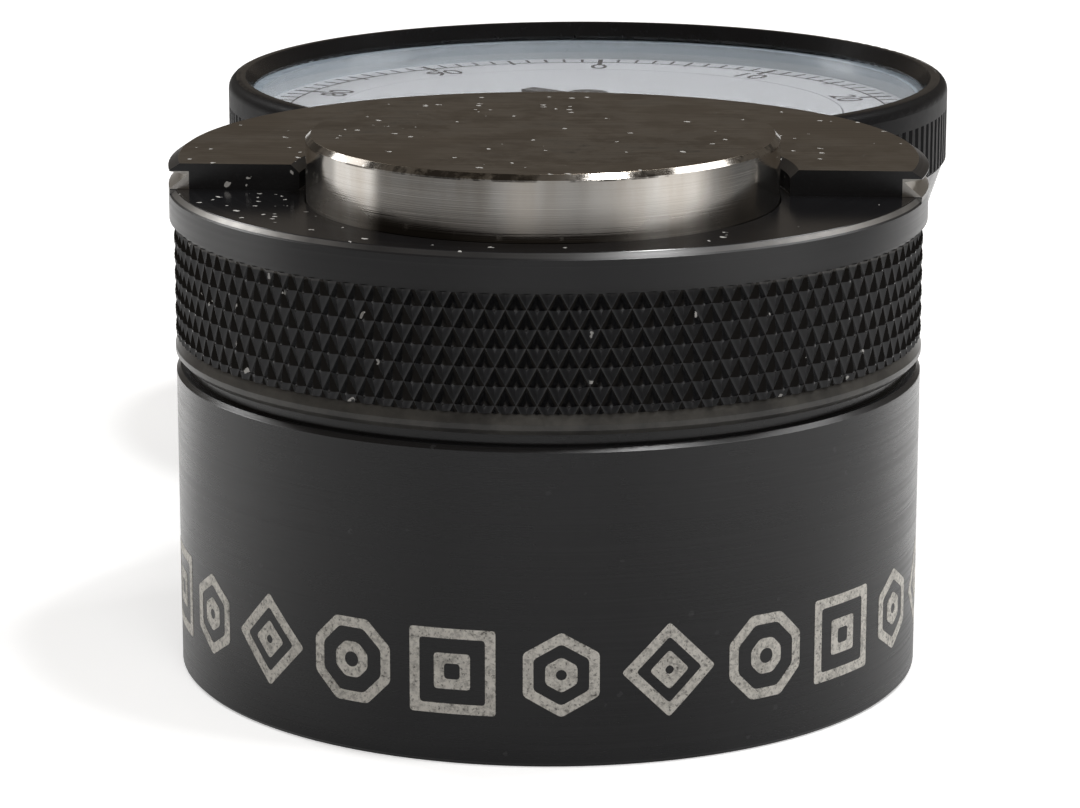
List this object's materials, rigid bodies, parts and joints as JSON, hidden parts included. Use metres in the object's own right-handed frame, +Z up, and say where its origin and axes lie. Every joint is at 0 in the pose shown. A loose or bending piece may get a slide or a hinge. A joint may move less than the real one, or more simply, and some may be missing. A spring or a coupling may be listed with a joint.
{
  "type": "tool length setter",
  "caption": "Round tool length setter: a sprung sensing anvil and a ground reference face on a knurled head, read by a dial indicator lying behind through a bell crank.",
  "frame": {"origin": "body axis in the base plane", "axes": "+Z up along the anvil's travel, +Y back towards the indicator, +X to the right seen from the front"},
  "size_m": [0.0844, 0.1712, 0.0536],
  "materials": {
    "black_housing": "black oxide on fine turned steel, satin",
    "black_head": "black oxide on turned and knurled steel, ground bare on the reference face",
    "ground_steel": "ground and hardened steel",
    "plain_steel": "machined steel",
    "screw_steel": "dark screw steel",
    "magnet": "nickel plated",
    "bronze": "bearing bronze",
    "seal_rubber": "matt rubber",
    "spring_steel": "drawn wire",
    "black_case": "smooth black enamel",
    "black_bezel": "glossy black with a fluted side",
    "stem_steel": "ground steel",
    "movement_brass": "brushed brass",
    "dial_white": "white printed dial",
    "spacer_grey": "satin grey",
    "crystal_glass": "clear",
    "hand_black": "black enamel"
  },
  "bodies": {
    "root": {"housing": "black_housing", "head": "black_head", "base_plate": "plain_steel", "base_screws": "screw_steel", "base_magnets": "magnet", "upper_bush": "bronze", "lower_bush": "bronze", "wiper_seal": "seal_rubber", "crank_bracket": "plain_steel", "bracket_screws": "screw_steel", "crank_pin": "screw_steel", "pin_clips": "screw_steel", "stem_clamp_screw": "screw_steel", "indicator_case": "black_case", "indicator_stem": "stem_steel", "back_cover": "black_case", "cover_screws": "screw_steel", "rear_bush": "bronze", "spindle_cap": "stem_steel", "lower_plate": "movement_brass", "upper_plate": "movement_brass", "plate_pillars": "movement_brass", "plate_screws": "screw_steel", "spring_post": "screw_steel", "guide_fork": "screw_steel", "return_spring": "spring_steel", "hairspring": "spring_steel", "anvil_spring": "spring_steel", "dial_face": "dial_white", "bezel_retainer": "screw_steel"},
    "anvil_slide_body": {"anvil": "ground_steel", "stop_collar": "plain_steel", "collar_pin": "screw_steel"},
    "crank": {"bell_crank": "plain_steel"},
    "spindle_body": {"spindle": "stem_steel", "contact_point": "stem_steel", "spindle_pin": "screw_steel"},
    "rack_shaft": {"rack_arbor": "stem_steel", "rack_gear": "movement_brass", "counter_hand": "hand_black"},
    "centre_shaft": {"centre_arbor": "stem_steel", "pointer": "hand_black"},
    "takeup": {"takeup_gear": "movement_brass"},
    "bezel_group": {"bezel": "black_bezel", "crystal": "crystal_glass", "spacer_ring": "spacer_grey", "dial_ring": "dial_white"}
  },
  "joints": [
    {"name": "anvil_press", "type": "slide", "parent": "root", "child": "anvil_slide_body", "axis": [0, 0, -1], "range_m": [0, 0.00475], "stiffness_N_per_m": 500, "springref_m": -0.006, "deforming": ["anvil_spring"]},
    {"name": "crank_pivot", "type": "hinge", "parent": "root", "child": "crank", "pos_m": [0, 0.0077, 0.03], "axis": [1, 0, 0], "range_deg": [0, 34.2]},
    {"name": "spindle_slide", "type": "slide", "parent": "root", "child": "spindle_body", "axis": [0, 1, 0], "range_m": [0, 0.0048]},
    {"name": "rack_spin", "type": "hinge", "parent": "root", "child": "rack_shaft", "pos_m": [-0.00329, 0.075, 0.03], "axis": [0, 0, 1], "range_deg": [0, 171.5]},
    {"name": "pointer_spin", "type": "hinge", "parent": "root", "child": "centre_shaft", "pos_m": [0, 0.0855, 0.036], "axis": [0, 0, 1], "range_deg": [-1715, 0]},
    {"name": "takeup_spin", "type": "hinge", "parent": "root", "child": "takeup", "pos_m": [0.00329, 0.096, 0.03], "axis": [0, 0, 1], "range_deg": [0, 171.5]},
    {"name": "bezel_turn", "type": "hinge", "parent": "root", "child": "bezel_group", "pos_m": [0, 0.0855, 0.039], "axis": [0, 0, 1], "continuous": true}
  ],
  "couplings": [
    {"joint": "crank_pivot", "follows": "anvil_press", "rad_per_m": 125},
    {"joint": "spindle_slide", "follows": "anvil_press", "ratio": 1},
    {"joint": "rack_spin", "follows": "anvil_press", "rad_per_m": 628.32},
    {"joint": "pointer_spin", "follows": "anvil_press", "rad_per_m": -6283.2},
    {"joint": "takeup_spin", "follows": "anvil_press", "rad_per_m": 628.32}
  ]
}
